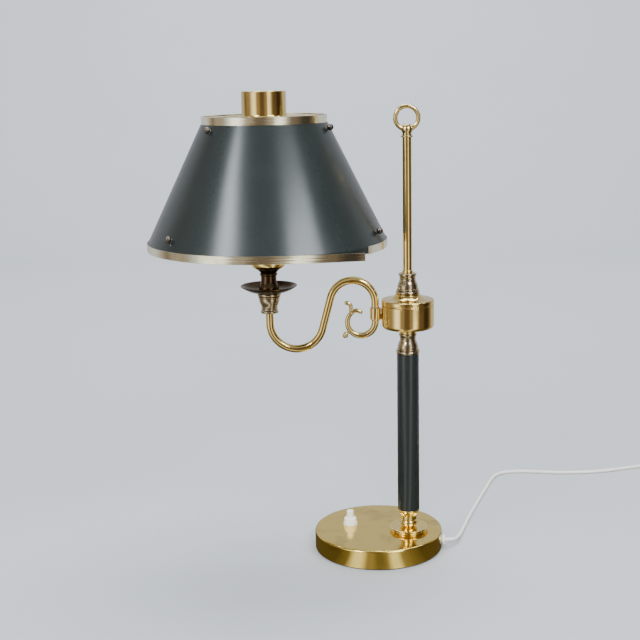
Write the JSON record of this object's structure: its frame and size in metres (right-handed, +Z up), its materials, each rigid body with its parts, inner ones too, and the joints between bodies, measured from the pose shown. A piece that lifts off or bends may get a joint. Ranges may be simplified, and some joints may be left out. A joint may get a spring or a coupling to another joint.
{
  "type": "bouillotte lamp",
  "caption": "Table lamp with a round weighted base, a lacquered column, a drum with a swinging scrolled arm, a candle cup and a conical metal shade with a chimney.",
  "frame": {"origin": "centre of the round base's underside, on the surface that the lamp stands on", "axes": "+Z up along the column, +X away from the swing arm, towards the side where the cord leaves, and -Y towards the viewer"},
  "size_m": [0.7168, 0.4097, 0.5284],
  "materials": {
    "polished_brass": "polished, light wear",
    "gilt_brass": "bright gilt, cast and turned",
    "antique_brass": "antique patina",
    "pale_brass": "pale worn gilding on rolled strip",
    "dark_bronze": "dark bronzed",
    "green_lacquer": "dark green stove lacquer, satin",
    "iron": "raw casting",
    "steel": "zinc plated",
    "plated_pins": "nickel plated",
    "ivory_plastic": "moulded, glossy",
    "porcelain": "glazed ceramic",
    "cord_sheath": "smooth ivory vinyl sheath",
    "felt": "dense felt",
    "bulb_metal": "rolled thread",
    "frosted_glass": "frosted"
  },
  "bodies": {
    "stem": {"base_cover": "polished_brass", "base_weight": "iron", "felt_pad": "felt", "switch_body": "ivory_plastic", "switch_collar": "ivory_plastic", "switch_spring": "steel", "cord_bushing": "ivory_plastic", "cord_clamp": "ivory_plastic", "clamp_screws": "steel", "inner_cord": "cord_sheath", "column_lead": "cord_sheath", "tie_tube": "steel", "tie_nut": "steel", "tie_washer": "steel", "column_foot": "gilt_brass", "column_tube": "green_lacquer", "lower_knop": "antique_brass", "drum_can": "polished_brass", "drum_lid": "polished_brass", "upper_knop": "antique_brass", "rod_coupler": "gilt_brass", "upper_rod": "polished_brass", "finial_neck": "gilt_brass", "finial_ring": "gilt_brass", "hinge_bracket": "polished_brass", "bracket_nut": "steel", "hinge_washer": "antique_brass", "bracket_lead": "cord_sheath", "wire_splices": "ivory_plastic", "supply_cord": "cord_sheath", "cord_coil": "cord_sheath", "plug_body": "ivory_plastic", "plug_pins": "plated_pins"},
    "button": {"switch_button": "ivory_plastic"},
    "arm": {"hinge_pin": "steel", "arm_tube": "polished_brass", "arm_scroll": "gilt_brass", "arm_lead": "cord_sheath", "arm_cup": "antique_brass", "drip_pan": "dark_bronze", "candle_cup": "dark_bronze", "holder_nipple": "steel", "holder_cap": "gilt_brass", "holder_shell": "gilt_brass", "holder_insert": "porcelain", "screw_shell": "gilt_brass", "centre_contact": "gilt_brass", "shade_rings": "gilt_brass", "bulb_cap": "bulb_metal", "bulb_glass": "frosted_glass", "shade_sheet": "green_lacquer", "shade_frame": "steel", "lower_trim": "pale_brass", "upper_trim": "pale_brass", "shade_knobs": "dark_bronze", "knob_nuts": "steel", "top_plate": "pale_brass", "chimney": "polished_brass"}
  },
  "joints": [
    {"name": "arm_swing", "type": "hinge", "parent": "stem", "child": "arm", "pos_m": [-0.0016, -0.0085, 0.2804], "axis": [0, 0, 1], "range_deg": [-60, 60]},
    {"name": "switch_press", "type": "slide", "parent": "stem", "child": "button", "axis": [0, 0, -1], "range_m": [0, 0.0025], "stiffness_N_per_m": 1500, "springref_m": -0.002, "deforming": ["switch_spring"]}
  ]
}
